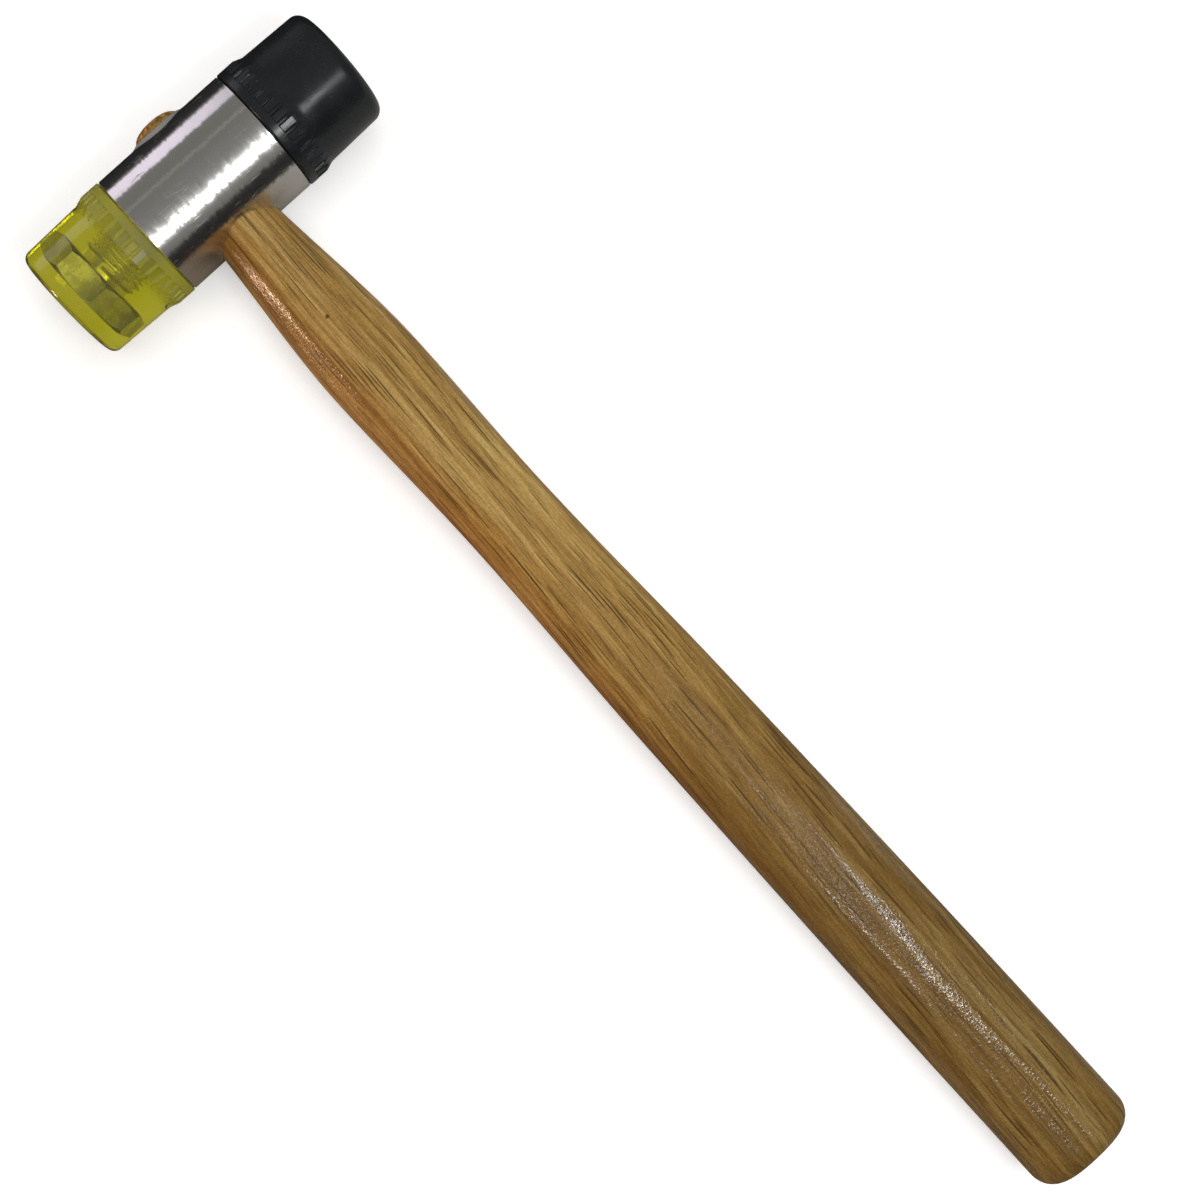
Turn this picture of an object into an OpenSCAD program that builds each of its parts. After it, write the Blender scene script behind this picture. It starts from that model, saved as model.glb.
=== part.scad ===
// Soft face hammer: a steel tube head with two screw-on striking faces on a wooden handle.
// The hammer lies on its side: X runs along the head from the clear face to the rubber face,
// Y runs along the handle from its butt to the head, and the table is Z = 0.

/* [Head tube] */
// Outside diameter of the head tube
tube_d = 30; // [28:0.2:38]
// Length of the head tube between the two faces
tube_l = 34.6; // [27:0.2:60]
// Wall thickness of the head tube
tube_wall = 2.4; // [1.8:0.1:3.5]
// Chamfer on the outer edge of each end of the tube
tube_chamfer = 0.3; // [0.1:0.1:0.6]

/* [Eye] */
// Clearance between the handle and the eye, all round
eye_fit = 0.1; // [0.05:0.01:0.2]
// Height of the rim that is drawn up round the top of the eye, over the top of the tube
rim_h = 0.5; // [0.3:0.1:1.5]
// Wall of that rim
rim_wall = 0.7; // [0.6:0.1:1.6]
// Reach of the flare between the rim and the tube
rim_flare = 2.2; // [1.5:0.1:3.5]
// How level the rim is: at 0 it follows the round of the tube, at 1 it is flat
rim_level = 0.15; // [0:0.05:1]
// Height of the small lip round the bottom of the eye
lip_h = 0.2; // [0.1:0.1:0.8]
// Wall of that lip
lip_wall = 0.3; // [0.2:0.1:1]
// Reach of the flare between the lip and the tube
lip_flare = 0.8; // [0.5:0.1:2]

/* [Striking faces] */
// Length of a face, from the tube to its striking surface
face_l = 23.2; // [21:0.2:34]
// Depth of a face's side under the surface of the tube, next to its ring
face_step = 0.6; // [0.5:0.1:2]
// Taper of a face's side, from its ring to its striking end
face_taper = 0.4; // [0:0.1:2]
// Edge radius of the clear face
clear_edge_r = 2; // [0.5:0.1:3]
// Edge radius of the rubber face
rubber_edge_r = 2.8; // [0.5:0.1:3.5]
// Height of the ribbed ring over the surface of the tube
ring_step = 0.15; // [0.1:0.05:3]
// Length of the ribbed ring at its full diameter
ring_l = 4.7; // [4:0.1:8]
// Length of the slope from the ring down to the face's side
ring_run = 2.2; // [0.5:0.1:4]
// Length of the plain band of the ring, next to the tube
band_l = 2.1; // [1.5:0.1:3]
// Edge radius of the ring next to the tube
ring_edge_r = 0.4; // [0.2:0.1:0.8]
// Number of ribs on the ring
rib_n = 36; // [18:2:44]
// Width of a rib at its crest
rib_w = 0.5; // [0.3:0.05:0.9]
// Draft of each side of a rib
rib_draft = 0.25; // [0:0.05:0.3]
// Height of a rib
rib_h = 0.45; // [0.3:0.05:0.6]
// Gap between a face that is screwed home and the tube
seat_gap = 0.1; // [0.05:0.05:0.3]

/* [Face bolts] */
// Thread diameter of the bolt in each face
bolt_d = 10; // [8:0.5:12]
// Width across the flats of the bolt's head
bolt_af = 16; // [13:0.5:18]
// Height of the bolt's head
bolt_head = 6.4; // [5:0.1:7.5]
// Distance from the bolt's tip to the inner end of its plug
bolt_short = 0.8; // [0.2:0.1:2]
// Pitch of the thread
pitch = 1.5; // [1.25:0.05:1.75]
// Depth of face material between the bolt's head and the striking surface
bolt_cover = 4; // [3.5:0.1:6]
// Gap between the bolt and the face that is moulded round it
mould_gap = 0.02; // [0.01:0.01:0.05]

/* [End plugs] */
// Clearance between the inner end of a plug and the widest part of the handle in the tube
plug_gap = 0.8; // [0.3:0.05:2]
// Gap between a plug and the bore of the tube
plug_fit = 0.02; // [0.01:0.01:0.05]
// Depth of a plug's outer end inside the end of the tube
plug_recess = 0.2; // [0.1:0.1:0.5]
// Clearance of the bolt's thread in the plug
thread_fit = 0.05; // [0.02:0.01:0.08]

/* [Handle] */
// Distance from the axis of the head to the butt
handle_l = 292; // [250:1:400]
// Height of the domed end over the rim of the eye
tip_h = 2; // [1.6:0.1:4]
// Width of the handle at the top of the tube
top_w = 12; // [10:0.1:13]
// Thickness of the handle at the top of the tube
top_t = 11.6; // [10:0.1:13]
// Width where the handle enters the bottom of the tube
neck_w = 16.4; // [14:0.1:17]
// Thickness where the handle enters the bottom of the tube
neck_t = 16; // [14:0.1:17]
// Width of the belly below the head
belly_w = 22.4; // [19:0.1:26]
// Thickness of the belly
belly_t = 18.4; // [16:0.1:22]
// Distance of the belly from the axis of the head
belly_at = 56; // [45:1:70]
// Width of the waist
waist_w = 21.1; // [18:0.1:25]
// Thickness of the waist
waist_t = 17.4; // [15:0.1:21]
// Distance of the waist from the axis of the head
waist_at = 96; // [85:1:120]
// Width of the upper grip
palm_w = 24; // [20:0.1:28]
// Thickness of the upper grip
palm_t = 19.4; // [16:0.1:24]
// Distance of the upper grip from the axis of the head
palm_at = 154; // [130:1:180]
// Width of the grip near the butt
grip_w = 26.1; // [22:0.1:32]
// Thickness of the grip near the butt
grip_t = 21; // [18:0.1:26]
// Distance from the butt at which the grip is full
grip_from_butt = 48; // [30:1:70]
// Edge radius of the butt
butt_r = 4.8; // [2:0.2:7]
// Crown of the butt's end
butt_crown = 0.8; // [0.3:0.1:1.5]
// Edge radius of the domed end
tip_r = 1.2; // [0.5:0.1:1.5]
// Crown of the domed end
tip_crown = 0.9; // [0.3:0.1:1.5]
// Squareness of the grip's section, 2 is an oval
grip_square = 2.5; // [2:0.1:3.5]

/* [Wedge] */
// Width of the wedge along the head
wedge_w = 7.6; // [5:0.1:8.5]
// Length of the wedge
wedge_l = 13; // [8:0.5:18]
// Thickness of the wedge at its head
wedge_head = 2; // [1.2:0.1:2.6]
// Thickness of the wedge at its tip
wedge_tip = 0.6; // [0.3:0.1:1]
// Depth of the wedge's head under the crown of the handle's end
wedge_sunk = 0.9; // [0.6:0.1:2]
// Gap between the wedge and its kerf
kerf_fit = 0.02; // [0.01:0.01:0.05]

/* [Hidden] */
$fn = 96;

CHROME = [0.80, 0.80, 0.82];
STEEL = [0.55, 0.56, 0.58];
CLEAR = [0.72, 0.66, 0.12];
RUBBER = [0.10, 0.11, 0.12];
WOOD = [0.62, 0.45, 0.25];

tube_r = tube_d / 2;
bore_r = tube_r - tube_wall;
ring_r = tube_r + ring_step;
face_r = tube_r - face_step;
plug_in = neck_w / 2 + plug_gap;
plug_out = tube_l / 2 - plug_recess;
butt_end = handle_l;
tip_end = -(tube_r + rim_h + tip_h);

// Stations down the handle: distance from the head's axis, width, thickness, squareness.
STATIONS = [
    [tip_end, top_w - (neck_w - top_w) * (-tip_end - tube_r) / tube_d,
        top_t - (neck_t - top_t) * (-tip_end - tube_r) / tube_d, 2],
    [-tube_r, top_w, top_t, 2],
    [tube_r, neck_w, neck_t, 2],
    [belly_at, belly_w, belly_t, 2 + 0.4 * (grip_square - 2)],
    [waist_at, waist_w, waist_t, 2 + 0.6 * (grip_square - 2)],
    [palm_at, palm_w, palm_t, grip_square],
    [butt_end - grip_from_butt, grip_w, grip_t, grip_square],
    [butt_end, grip_w + 0.3, grip_t + 0.3, grip_square]
];
LAST = len(STATIONS) - 1;

// The handle drops from the head to the butt until both touch the table.
rest_at = butt_end - butt_r - butt_crown;
lie_angle = asin(ring_r / norm([rest_at, station(rest_at, 2) / 2]))
    - atan2(station(rest_at, 2) / 2, rest_at);
head_y = (butt_end + tip_end) / 2;

// Smooth curve through the stations, with no overshoot: k picks width, thickness or squareness.
function grade(i, k) = (STATIONS[i + 1][k] - STATIONS[i][k]) / (STATIONS[i + 1][0] - STATIONS[i][0]);
function slope(i, k) =
    i == 0 ? grade(0, k) : i == LAST ? grade(LAST - 1, k) :
    let (a = grade(i - 1, k), b = grade(i, k)) a * b <= 0 ? 0 : 2 * a * b / (a + b);
function span(s, i = 0) = i >= LAST - 1 || s < STATIONS[i + 1][0] ? i : span(s, i + 1);
function station(s, k) =
    let (i = span(s), h = STATIONS[i + 1][0] - STATIONS[i][0], u = (s - STATIONS[i][0]) / h)
    STATIONS[i][k] * (1 + 2 * u) * pow(1 - u, 2) + h * slope(i, k) * u * pow(1 - u, 2)
    + STATIONS[i + 1][k] * u * u * (3 - 2 * u) - h * slope(i + 1, k) * u * u * (1 - u);

function power(v, p) = sign(v) * pow(abs(v), p);

// One oval ring round the handle at distance s, grown outwards by g.
function ring(s, g, sides) = let (n = station(s, 3)) [
    for (i = [0 : sides - 1]) let (a = 360 * i / sides) [
        (station(s, 1) / 2 + g) * power(cos(a), 2 / n), -s, (station(s, 2) / 2 + g) * power(sin(a), 2 / n)]
];

// Rings and their insets from one end of the handle to where its edge radius ends.
function end_rings(edge, crown) = concat([[crown * 0.3, 0.5, 0]],
    [for (a = [0 : 15 : 90]) [crown + edge * (1 - cos(a)), 1, edge * (1 - sin(a))]]);

// A skin over rings that all have the same number of points, closed at both ends.
module skin(rings, first, last) {
    m = len(rings[0]);
    k = len(rings);
    points = concat([first], [for (r = rings) for (p = r) p], [last]);
    polyhedron(points, concat(
        [for (i = [0 : m - 1]) [0, 1 + i, 1 + (i + 1) % m]],
        [for (j = [0 : k - 2]) for (i = [0 : m - 1]) let (a = 1 + j * m, b = a + m, n = (i + 1) % m)
            each [[a + i, b + i, a + n], [a + n, b + i, b + n]]],
        [for (i = [0 : m - 1]) let (a = 1 + (k - 1) * m) [a + i, k * m + 1, a + (i + 1) % m]]
    ));
}

// The handle's whole form, tip first.
module handle_form(sides = 40) {
    tip = end_rings(tip_r, tip_crown);
    butt = end_rings(butt_r, butt_crown);
    start = tip_end + tip_crown + tip_r;
    stop = butt_end - butt_crown - butt_r;
    body = concat([for (s = [start + 4 : 5 : waist_at]) s], [for (s = [waist_at + 6 : 10 : stop - 4]) s]);
    skin(concat(
        [for (e = tip) trimmed(tip_end + e[0], e, sides)],
        [for (s = body) ring(s, 0, sides)],
        [for (j = [len(butt) - 1 : -1 : 0]) trimmed(butt_end - butt[j][0], butt[j], sides)]
    ), [0, -tip_end, 0], [0, -butt_end, 0]);
}

// A ring with the inset of an edge radius, or half size on a crown.
function trimmed(s, e, sides) = let (w = station(s, 1) / 2, t = station(s, 2) / 2, n = station(s, 3),
    edge = e[1] < 1 ? (s < 0 ? tip_r : butt_r) : e[2]) [
    for (i = [0 : sides - 1]) let (a = 360 * i / sides) [
        (w - edge) * e[1] * power(cos(a), 2 / n), -s, (t - edge) * e[1] * power(sin(a), 2 / n)]
];

// The tapered hole that the handle passes through.
module eye_hole(sides = 40) {
    reach = tube_r + rim_h + 1.5;
    ends = [for (s = [-reach, -tube_r, -tube_r / 2, 0, tube_r / 2, tube_r, reach]) ring(s, eye_fit, sides)];
    skin(ends, [0, reach, 0], [0, -reach, 0]);
}

// Metal that is drawn out round the eye at distance s: up = 1 on top, -1 below.
// level = 1 gives a flat rim, level = 0 a rim that follows the tube.
module drawn_rim(s, up, height, wall, flare, level, sides = 40) {
    steps = [0, 0.12, 0.3, 0.55, 0.8, 1];
    rings = [for (u = steps) [for (p = ring(s, eye_fit + wall + flare * u, sides)) let (
        skin_y = sqrt(tube_r * tube_r - p[2] * p[2]),
        rim_y = level * (tube_r + height) + (1 - level) * (skin_y + height),
        foot_y = skin_y - 0.3)
        [p[0], up * (foot_y + (rim_y - foot_y) * pow(1 - u, 2.2)), p[2]]]];
    base = [for (p = rings[len(steps) - 1]) [p[0], p[1] - up * 1.2, p[2]]];
    stack = concat(rings, [base]);
    top = [0, up * (tube_r + height), 0];
    bottom = [0, up * (tube_r - 1.5), 0];
    if (up > 0) skin(stack, top, bottom);
    else skin([for (j = [len(stack) - 1 : -1 : 0]) stack[j]], bottom, top);
}

// Lays the upright hammer down on the table.
module lay() translate([0, head_y, ring_r]) rotate([lie_angle, 0, 0]) children();

// Turns a piece that is built along +Z onto the head's axis, at end -1 or 1.
module at_end(end) rotate([0, 90 * end, 0]) children();

// The bolt in a face, both sides of its head chamfered at 30 degrees.
module hex_bolt(grow = 0) {
    under = tube_l / 2 + face_l - bolt_cover - bolt_head - grow;
    tip = plug_in + bolt_short - grow;
    head = bolt_head + 2 * grow;
    shank_r = bolt_d / 2 + grow;
    crown_r = 0.475 * bolt_af + grow;
    translate([0, 0, under]) intersection() {
        rotate(30) cylinder(d = (bolt_af + 2 * grow) / cos(30), h = head, $fn = 6);
        cylinder(r1 = crown_r + head / tan(30), r2 = crown_r, h = head);
        cylinder(r1 = crown_r, r2 = crown_r + head / tan(30), h = head);
    }
    translate([0, 0, tip]) cylinder(r1 = shank_r - 0.6 * pitch, r2 = shank_r, h = 0.6 * pitch);
    translate([0, 0, tip + 0.6 * pitch]) cylinder(r = shank_r, h = under - tip - 0.6 * pitch + 0.5);
}

// The space between two ribs, in plan along the head.
module rib_gap() {
    half = ring_r * sin(180 / rib_n) - rib_w / 2;
    grow = rib_draft / rib_h;
    polygon([[ring_r - rib_h, half - rib_draft], [ring_r + 1, half + grow],
        [ring_r + 1, -half - grow], [ring_r - rib_h, rib_draft - half]]);
}

module striking_face(edge_r) {
    root = tube_l / 2 + seat_gap;
    end = tube_l / 2 + face_l;
    ring_end = root + ring_l;
    difference() {
        rotate_extrude() polygon(concat(
            [[0, root]],
            [for (a = [0 : 15 : 90]) [ring_r - ring_edge_r + ring_edge_r * sin(a),
                root + ring_edge_r * (1 - cos(a))]],
            [[ring_r, ring_end], [face_r, ring_end + ring_run]],
            [for (a = [90 : -10 : 0]) [face_r - face_taper - edge_r * (1 - sin(a)),
                end - edge_r * (1 - cos(a))]],
            [[0, end]]
        ));
        for (i = [0 : rib_n - 1]) rotate(i * 360 / rib_n)
            translate([0, 0, root + band_l]) linear_extrude(ring_l + ring_run - band_l) rib_gap();
        hex_bolt(mould_gap);
    }
}

module end_plug(chamfer = 0.5) {
    r = bore_r - plug_fit;
    hole_r = bolt_d / 2 + thread_fit;
    difference() {
        union() {
            translate([0, 0, plug_in]) cylinder(r1 = r - chamfer, r2 = r, h = chamfer);
            translate([0, 0, plug_in + chamfer]) cylinder(r = r, h = plug_out - plug_in - chamfer);
        }
        translate([0, 0, plug_in - 1]) cylinder(r = hole_r, h = plug_out - plug_in + 2);
        translate([0, 0, plug_out - chamfer]) cylinder(r1 = hole_r, r2 = hole_r + 2 * chamfer,
            h = 2 * chamfer);
    }
}

module wedge_form(grow, extra) {
    head = -tip_end - wedge_sunk;
    translate([-(wedge_w / 2 + grow), 0, 0]) rotate([90, 0, 90])
        linear_extrude(wedge_w + 2 * grow) polygon([
            [head + extra, wedge_head / 2 + grow], [head + extra, -wedge_head / 2 - grow],
            [head, -wedge_head / 2 - grow], [head - wedge_l - grow, -wedge_tip / 2 - grow],
            [head - wedge_l - grow, wedge_tip / 2 + grow], [head, wedge_head / 2 + grow]]);
}

module head_tube() color(CHROME) lay() difference() {
    union() {
        rotate([0, 90, 0]) rotate_extrude() polygon([
            [0, -tube_l / 2], [tube_r - tube_chamfer, -tube_l / 2], [tube_r, tube_chamfer - tube_l / 2],
            [tube_r, tube_l / 2 - tube_chamfer], [tube_r - tube_chamfer, tube_l / 2], [0, tube_l / 2]]);
        drawn_rim(-tube_r, 1, rim_h, rim_wall, rim_flare, rim_level);
        drawn_rim(tube_r, -1, lip_h, lip_wall, lip_flare, 0);
    }
    rotate([0, 90, 0]) cylinder(r = bore_r, h = tube_l + 2, center = true);
    eye_hole();
}

module clear_face_plug() color(STEEL) lay() at_end(-1) end_plug();

module rubber_face_plug() color(STEEL) lay() at_end(1) end_plug();

module clear_face() color(CLEAR) lay() at_end(-1) striking_face(clear_edge_r);

module clear_face_bolt() color(STEEL) lay() at_end(-1) hex_bolt();

module rubber_face() color(RUBBER) lay() at_end(1) striking_face(rubber_edge_r);

module rubber_face_bolt() color(STEEL) lay() at_end(1) hex_bolt();

module handle() color(WOOD) lay() difference() {
    handle_form();
    wedge_form(kerf_fit, 4);
}

module handle_wedge() color(STEEL) lay() wedge_form(0, 0);

head_tube();
clear_face_plug();
rubber_face_plug();
clear_face();
clear_face_bolt();
rubber_face();
rubber_face_bolt();
handle();
handle_wedge();
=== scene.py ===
"""Looks for the soft face hammer: meshes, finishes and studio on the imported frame."""
import logging
import math
from dataclasses import dataclass
from enum import Enum
from functools import cached_property, reduce
from typing import Callable, Sequence

import bmesh
import bpy
from mathutils import Matrix, Vector


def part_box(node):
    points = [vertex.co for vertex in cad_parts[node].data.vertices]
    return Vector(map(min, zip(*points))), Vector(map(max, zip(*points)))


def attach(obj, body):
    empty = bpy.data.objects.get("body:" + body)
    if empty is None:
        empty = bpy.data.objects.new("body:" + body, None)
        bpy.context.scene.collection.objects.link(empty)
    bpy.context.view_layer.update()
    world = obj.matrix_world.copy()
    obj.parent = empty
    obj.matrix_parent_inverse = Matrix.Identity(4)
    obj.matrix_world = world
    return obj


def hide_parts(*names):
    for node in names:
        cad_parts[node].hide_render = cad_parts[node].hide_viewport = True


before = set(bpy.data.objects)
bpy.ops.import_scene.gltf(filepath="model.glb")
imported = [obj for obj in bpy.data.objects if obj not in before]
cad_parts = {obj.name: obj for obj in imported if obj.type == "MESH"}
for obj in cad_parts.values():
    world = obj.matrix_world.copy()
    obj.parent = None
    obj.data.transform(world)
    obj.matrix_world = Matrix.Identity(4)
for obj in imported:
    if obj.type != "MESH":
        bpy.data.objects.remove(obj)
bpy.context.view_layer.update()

MM = 0.001
PER_MM = (1000.0, 1000.0, 1000.0)
NEAR = 1e-4  # lengths this close count as equal, in millimetres
WELD = 1e-6  # points this close are merged, in metres
LOG = logging.getLogger("hammer")

Span = tuple[float, float]
Point = tuple[float, float, float]
Colour = tuple[float, float, float, float]
Profile = list[Span]
Node = bpy.types.Node
Socket = bpy.types.NodeSocket
Sockets = bpy.types.bpy_prop_collection
Material = bpy.types.Material
Piece = bpy.types.Object
Mesh = bmesh.types.BMesh


class End(Enum):
    """The two ends of the head, by the direction in which they point along X."""

    CLEAR = -1
    RUBBER = 1


class Body(Enum):
    """The bodies that pieces ride on."""

    HEAD = "head"
    CLEAR_END = "clear_end"
    RUBBER_END = "rubber_end"


@dataclass(frozen=True)
class Lie:
    """How the hammer's own axes lie in the row frame: X along the head, -Y down the handle."""

    tilt: float = math.radians(0.903878)

    def centre(self) -> Vector:
        """Returns the centre of the head, from the clear face's node."""
        low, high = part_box("clear_face")
        return Vector((0.0, (low.y + high.y) / 2, (low.z + high.z) / 2))

    def matrix(self) -> Matrix:
        """Returns the transform from the hammer's own axes to the row frame."""
        return Matrix.Translation(self.centre()) @ Matrix.Rotation(self.tilt, 4, "X")


LIE = Lie()


@dataclass(frozen=True)
class Ring:
    """One oval ring round the handle's axis, in millimetres."""

    s: float
    half_w: float
    half_t: float
    power: float

    def point(self, turn: float) -> Vector:
        """Gives the point at an angle round the axis, in the hammer's own axes and in metres."""
        c, d, e = math.cos(turn), math.sin(turn), 2.0 / self.power
        return MM * Vector((math.copysign(self.half_w * abs(c) ** e, c), -self.s,
                            math.copysign(self.half_t * abs(d) ** e, d)))


def arc(x: float, r: float, radius: float, start: float, stop: float, count: int = 7) -> Profile:
    """Gives the points of a profile's rounded corner about (x, r), from start to stop in degrees."""
    angles = [math.radians(start + (stop - start) * i / (count - 1)) for i in range(count)]
    return [(x + radius * math.cos(a), r + radius * math.sin(a)) for a in angles]


def steps_between(first: float, last: float, count: int) -> list[float]:
    """Gives count + 1 evenly spaced values from first to last."""
    return [first + (last - first) * i / count for i in range(count + 1)]


def turned(profile: Profile, steps: int, closed: bool = False, turns: int = 1,
           pitch: float = 0.0) -> Mesh:
    """Spins a profile round the X axis.

    Args:
        profile: (along, off) pairs in millimetres.
        steps: number of steps in a turn.
        closed: joins the profile's last point to its first.
        turns: number of turns.
        pitch: how far a turn goes along the axis, in millimetres.

    Returns:
        The turned mesh, with its seams merged and its faces outwards.
    """
    bm = bmesh.new()
    verts = [bm.verts.new((x * MM, 0.0, r * MM)) for x, r in profile]
    edges = [bm.edges.new(pair) for pair in zip(verts, verts[1:])]
    if closed:
        edges.append(bm.edges.new((verts[-1], verts[0])))
    bmesh.ops.spin(bm, geom=verts + edges, cent=(0, 0, 0), axis=(1, 0, 0),
                   angle=math.tau * turns, dvec=(pitch * MM / steps, 0.0, 0.0), steps=steps * turns,
                   use_merge=not pitch, use_duplicate=False)
    bmesh.ops.remove_doubles(bm, verts=bm.verts, dist=WELD)
    bmesh.ops.recalc_face_normals(bm, faces=bm.faces)
    return bm


def lofted(rings: Sequence[Ring], sides: int) -> Mesh:
    """Extrudes a circle from ring to ring down the handle's axis and closes both ends.

    Args:
        rings: the rings in order.
        sides: number of points of each ring.

    Returns:
        The closed mesh, with its faces outwards.
    """
    bm = bmesh.new()
    turn = bm.verts.layers.float.new("turn")
    verts = bmesh.ops.create_circle(bm, cap_ends=False, radius=1.0, segments=sides)["verts"]
    for i, vert in enumerate(verts):
        vert[turn] = math.tau * i / sides
    edges = list(bm.edges)
    bmesh.ops.contextual_create(bm, geom=edges)
    for number, ring in enumerate(rings):
        if number:
            made = bmesh.ops.extrude_edge_only(bm, edges=edges)["geom"]
            verts = [g for g in made if isinstance(g, bmesh.types.BMVert)]
            fresh = set(verts)
            edges = [g for g in made if isinstance(g, bmesh.types.BMEdge) and fresh.issuperset(g.verts)]
        for vert in verts:
            vert.co = ring.point(vert[turn])
    bmesh.ops.contextual_create(bm, geom=edges)
    bmesh.ops.recalc_face_normals(bm, faces=bm.faces)
    return bm


def to_radius(vert: bmesh.types.BMVert, radius: float) -> None:
    """Moves a vertex straight in or out to a radius from the X axis, in millimetres."""
    vert.co.yz *= radius * MM / math.hypot(*vert.co.yz)


def turn_to(bm: Mesh, end: End) -> None:
    """Turns a mesh that points along +X to its end of the head."""
    if end is End.CLEAR:
        bmesh.ops.rotate(bm, cent=(0, 0, 0), matrix=Matrix.Rotation(math.pi, 3, "Z"), verts=bm.verts)


def to_piece(bm: Mesh, name: str, place: Matrix) -> Piece:
    """Puts a mesh in its place in the row frame and makes an object of it.

    Args:
        bm: the mesh, which is freed.
        name: name of the piece.
        place: transform from the mesh's axes to the row frame.

    Returns:
        The object, at the origin and unturned.
    """
    bmesh.ops.transform(bm, matrix=place, verts=bm.verts)
    mesh = bpy.data.meshes.new(name)
    bm.to_mesh(mesh)
    bm.free()
    piece = bpy.data.objects.new(name, mesh)
    bpy.context.scene.collection.objects.link(piece)
    return piece


def carve(piece: Piece, cutter: Piece) -> None:
    """Cuts a form out of a piece's mesh and removes the cutter.

    Args:
        piece: the piece that is cut.
        cutter: the form that is cut out.
    """
    cut = piece.modifiers.new("carve", "BOOLEAN")
    cut.object, cut.operation, cut.solver = cutter, "DIFFERENCE", "EXACT"
    graph = bpy.context.evaluated_depsgraph_get()
    carved = bpy.data.meshes.new_from_object(piece.evaluated_get(graph))
    piece.modifiers.clear()
    whole, piece.data = piece.data, carved
    bpy.data.meshes.remove(whole)
    bpy.data.objects.remove(cutter)


def smooth(piece: Piece, angle: float) -> None:
    """Shades a piece smooth, with sharp edges where faces meet at more than angle degrees."""
    piece.data.shade_smooth()
    piece.data.set_sharp_from_angle(angle=math.radians(angle))


def join_frame(piece: Piece, body: Body, slot: str, *nodes: str) -> None:
    """Makes a piece stand for CAD nodes and ride on their body.

    Args:
        piece: the finished piece.
        body: the body that it rides on.
        slot: the record's material slot; not used.
        nodes: the CAD nodes that it stands for.
    """
    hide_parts(*nodes)
    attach(piece, body.value)
    LOG.info("%s rides on %s with %d faces", piece.name, body.value, len(piece.data.polygons))


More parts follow.
